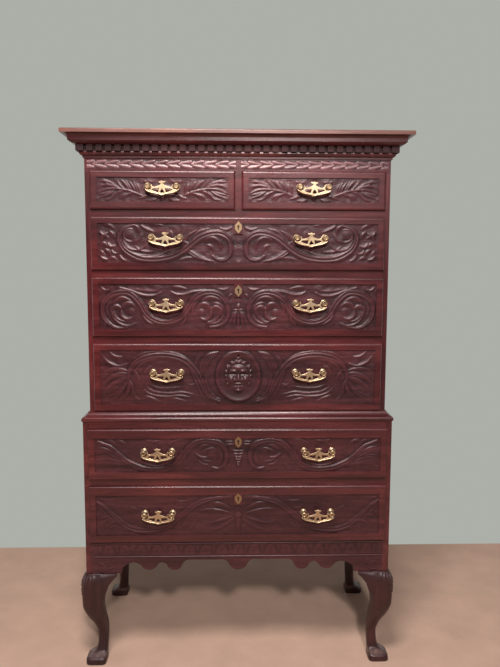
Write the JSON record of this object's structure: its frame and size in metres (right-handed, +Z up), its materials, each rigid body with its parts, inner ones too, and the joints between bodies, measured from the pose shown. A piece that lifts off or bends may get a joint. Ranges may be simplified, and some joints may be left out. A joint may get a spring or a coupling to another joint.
{
  "type": "highboy",
  "caption": "Carved dark wood chest of drawers on a low stand with cabriole legs, lipped drawers that slide, pierced brass drop handles that swing, and drawer locks.",
  "frame": {"origin": "on the floor under the middle of the bounding box, with the drawers shut", "axes": "+Z up, the drawer fronts face -Y, +X to the right of someone facing the fronts"},
  "size_m": [1.072, 0.5564, 1.728],
  "materials": {
    "carved_wood": "polished",
    "top_wood": "polished",
    "secondary_wood": "bare",
    "brass": "aged"
  },
  "bodies": {
    "carcase": {"chest_back": "secondary_wood", "chest_dividers": "carved_wood", "chest_floor": "secondary_wood", "chest_side_left": "carved_wood", "chest_side_right": "carved_wood", "corner_blocks": "secondary_wood", "cornice_moulding": "carved_wood", "dentil_course": "carved_wood", "drawer_runners": "secondary_wood", "frieze_rail": "carved_wood", "front_apron": "carved_wood", "front_leg_left": "carved_wood", "front_leg_right": "carved_wood", "knee_brackets": "carved_wood", "rear_leg_left": "carved_wood", "rear_leg_right": "carved_wood", "stand_back": "secondary_wood", "stand_rails": "carved_wood", "stand_side_left": "carved_wood", "stand_side_right": "carved_wood", "top_board": "top_wood", "waist_moulding": "carved_wood"},
    "short_left_drawer": {"short_left_drawer_front": "carved_wood", "short_left_drawer_box": "secondary_wood", "short_left_drawer_fittings": "brass"},
    "short_left_bail": {"short_left_bail": "brass"},
    "short_right_drawer": {"short_right_drawer_front": "carved_wood", "short_right_drawer_box": "secondary_wood", "short_right_drawer_fittings": "brass"},
    "short_right_bail": {"short_right_bail": "brass"},
    "chest_high_drawer": {"chest_high_drawer_front": "carved_wood", "chest_high_drawer_box": "secondary_wood", "chest_high_drawer_fittings": "brass"},
    "chest_high_bail_left": {"chest_high_bail_left": "brass"},
    "chest_high_bail_right": {"chest_high_bail_right": "brass"},
    "chest_high_bolt": {"chest_high_lock_bolt": "brass"},
    "chest_mid_drawer": {"chest_mid_drawer_front": "carved_wood", "chest_mid_drawer_box": "secondary_wood", "chest_mid_drawer_fittings": "brass"},
    "chest_mid_bail_left": {"chest_mid_bail_left": "brass"},
    "chest_mid_bail_right": {"chest_mid_bail_right": "brass"},
    "chest_mid_bolt": {"chest_mid_lock_bolt": "brass"},
    "chest_low_drawer": {"chest_low_drawer_front": "carved_wood", "chest_low_drawer_box": "secondary_wood", "chest_low_drawer_fittings": "brass"},
    "chest_low_bail_left": {"chest_low_bail_left": "brass"},
    "chest_low_bail_right": {"chest_low_bail_right": "brass"},
    "chest_low_bolt": {"chest_low_lock_bolt": "brass"},
    "stand_high_drawer": {"stand_high_drawer_front": "carved_wood", "stand_high_drawer_box": "secondary_wood", "stand_high_drawer_fittings": "brass"},
    "stand_high_bail_left": {"stand_high_bail_left": "brass"},
    "stand_high_bail_right": {"stand_high_bail_right": "brass"},
    "stand_high_bolt": {"stand_high_lock_bolt": "brass"},
    "stand_low_drawer": {"stand_low_drawer_front": "carved_wood", "stand_low_drawer_box": "secondary_wood", "stand_low_drawer_fittings": "brass"},
    "stand_low_bail_left": {"stand_low_bail_left": "brass"},
    "stand_low_bail_right": {"stand_low_bail_right": "brass"},
    "stand_low_bolt": {"stand_low_lock_bolt": "brass"}
  },
  "joints": [
    {"name": "short_left_drawer_slide", "type": "slide", "parent": "carcase", "child": "short_left_drawer", "axis": [0, -1, 0], "range_m": [0, 0.33]},
    {"name": "short_left_bail_swing", "type": "hinge", "parent": "short_left_drawer", "child": "short_left_bail", "pos_m": [-0.235, -0.24346, 1.563], "axis": [-1, 0, 0], "range_deg": [0, 85]},
    {"name": "short_right_drawer_slide", "type": "slide", "parent": "carcase", "child": "short_right_drawer", "axis": [0, -1, 0], "range_m": [0, 0.33]},
    {"name": "short_right_bail_swing", "type": "hinge", "parent": "short_right_drawer", "child": "short_right_bail", "pos_m": [0.235, -0.24346, 1.563], "axis": [-1, 0, 0], "range_deg": [0, 85]},
    {"name": "chest_high_drawer_slide", "type": "slide", "parent": "carcase", "child": "chest_high_drawer", "axis": [0, -1, 0], "range_m": [0, 0.33]},
    {"name": "chest_high_bail_left_swing", "type": "hinge", "parent": "chest_high_drawer", "child": "chest_high_bail_left", "pos_m": [-0.227, -0.24346, 1.407], "axis": [-1, 0, 0], "range_deg": [0, 85]},
    {"name": "chest_high_bail_right_swing", "type": "hinge", "parent": "chest_high_drawer", "child": "chest_high_bail_right", "pos_m": [0.227, -0.24346, 1.407], "axis": [-1, 0, 0], "range_deg": [0, 85]},
    {"name": "chest_high_bolt_slide", "type": "slide", "parent": "chest_high_drawer", "child": "chest_high_bolt", "axis": [0, 0, 1], "range_m": [0, 0.008]},
    {"name": "chest_mid_drawer_slide", "type": "slide", "parent": "carcase", "child": "chest_mid_drawer", "axis": [0, -1, 0], "range_m": [0, 0.33]},
    {"name": "chest_mid_bail_left_swing", "type": "hinge", "parent": "chest_mid_drawer", "child": "chest_mid_bail_left", "pos_m": [-0.227, -0.24346, 1.202], "axis": [-1, 0, 0], "range_deg": [0, 85]},
    {"name": "chest_mid_bail_right_swing", "type": "hinge", "parent": "chest_mid_drawer", "child": "chest_mid_bail_right", "pos_m": [0.227, -0.24346, 1.202], "axis": [-1, 0, 0], "range_deg": [0, 85]},
    {"name": "chest_mid_bolt_slide", "type": "slide", "parent": "chest_mid_drawer", "child": "chest_mid_bolt", "axis": [0, 0, 1], "range_m": [0, 0.008]},
    {"name": "chest_low_drawer_slide", "type": "slide", "parent": "carcase", "child": "chest_low_drawer", "axis": [0, -1, 0], "range_m": [0, 0.33]},
    {"name": "chest_low_bail_left_swing", "type": "hinge", "parent": "chest_low_drawer", "child": "chest_low_bail_left", "pos_m": [-0.227, -0.24346, 0.98], "axis": [-1, 0, 0], "range_deg": [0, 85]},
    {"name": "chest_low_bail_right_swing", "type": "hinge", "parent": "chest_low_drawer", "child": "chest_low_bail_right", "pos_m": [0.227, -0.24346, 0.98], "axis": [-1, 0, 0], "range_deg": [0, 85]},
    {"name": "chest_low_bolt_slide", "type": "slide", "parent": "chest_low_drawer", "child": "chest_low_bolt", "axis": [0, 0, 1], "range_m": [0, 0.008]},
    {"name": "stand_high_drawer_slide", "type": "slide", "parent": "carcase", "child": "stand_high_drawer", "axis": [0, -1, 0], "range_m": [0, 0.33]},
    {"name": "stand_high_bail_left_swing", "type": "hinge", "parent": "stand_high_drawer", "child": "stand_high_bail_left", "pos_m": [-0.257, -0.26346, 0.727], "axis": [-1, 0, 0], "range_deg": [0, 85]},
    {"name": "stand_high_bail_right_swing", "type": "hinge", "parent": "stand_high_drawer", "child": "stand_high_bail_right", "pos_m": [0.257, -0.26346, 0.727], "axis": [-1, 0, 0], "range_deg": [0, 85]},
    {"name": "stand_high_bolt_slide", "type": "slide", "parent": "stand_high_drawer", "child": "stand_high_bolt", "axis": [0, 0, 1], "range_m": [0, 0.008]},
    {"name": "stand_low_drawer_slide", "type": "slide", "parent": "carcase", "child": "stand_low_drawer", "axis": [0, -1, 0], "range_m": [0, 0.33]},
    {"name": "stand_low_bail_left_swing", "type": "hinge", "parent": "stand_low_drawer", "child": "stand_low_bail_left", "pos_m": [-0.257, -0.26346, 0.522], "axis": [-1, 0, 0], "range_deg": [0, 85]},
    {"name": "stand_low_bail_right_swing", "type": "hinge", "parent": "stand_low_drawer", "child": "stand_low_bail_right", "pos_m": [0.257, -0.26346, 0.522], "axis": [-1, 0, 0], "range_deg": [0, 85]},
    {"name": "stand_low_bolt_slide", "type": "slide", "parent": "stand_low_drawer", "child": "stand_low_bolt", "axis": [0, 0, 1], "range_m": [0, 0.008]}
  ]
}
